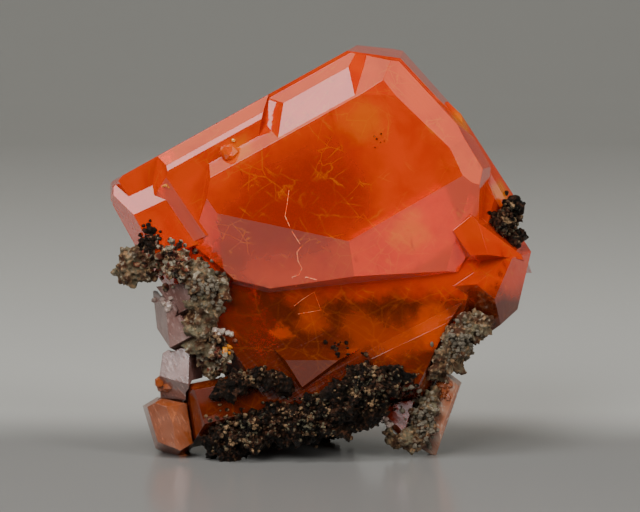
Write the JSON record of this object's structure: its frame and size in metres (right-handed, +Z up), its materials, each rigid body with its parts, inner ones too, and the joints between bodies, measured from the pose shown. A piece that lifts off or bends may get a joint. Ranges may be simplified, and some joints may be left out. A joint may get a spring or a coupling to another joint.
{
  "type": "wulfenite mineral specimen",
  "caption": "Thick tabular orange crystal group with bevelled growth steps, smaller plates at its left, and a dark knobbly matrix along its base.",
  "frame": {"origin": "on the floor, under the middle of the bounding box", "axes": "+X to the right of the specimen as seen from its front, +Y to its back, +Z up"},
  "size_m": [0.0424, 0.0182, 0.0404],
  "materials": {
    "orange_wulfenite": "clear to cloudy crystal with smooth shining faces",
    "dusky_wulfenite": "cloudy crystal with striated faces",
    "black_oxide": "dull knobbly crust",
    "grey_gossan": "rough and granular",
    "brown_gossan": "rough and granular"
  },
  "bodies": {
    "root": {"main_crystal": "orange_wulfenite", "left_upper_crystal": "dusky_wulfenite", "left_middle_crystal": "dusky_wulfenite", "left_pale_crystal": "dusky_wulfenite", "lower_left_crystal": "orange_wulfenite", "right_tablet_crystal": "orange_wulfenite", "inner_red_crystal": "orange_wulfenite", "bottom_matrix": "black_oxide", "ledge_crust": "black_oxide", "left_matrix": "grey_gossan", "right_matrix": "grey_gossan", "lower_right_matrix": "grey_gossan", "right_oxide_patch": "black_oxide", "rear_matrix": "brown_gossan"}
  },
  "joints": []
}
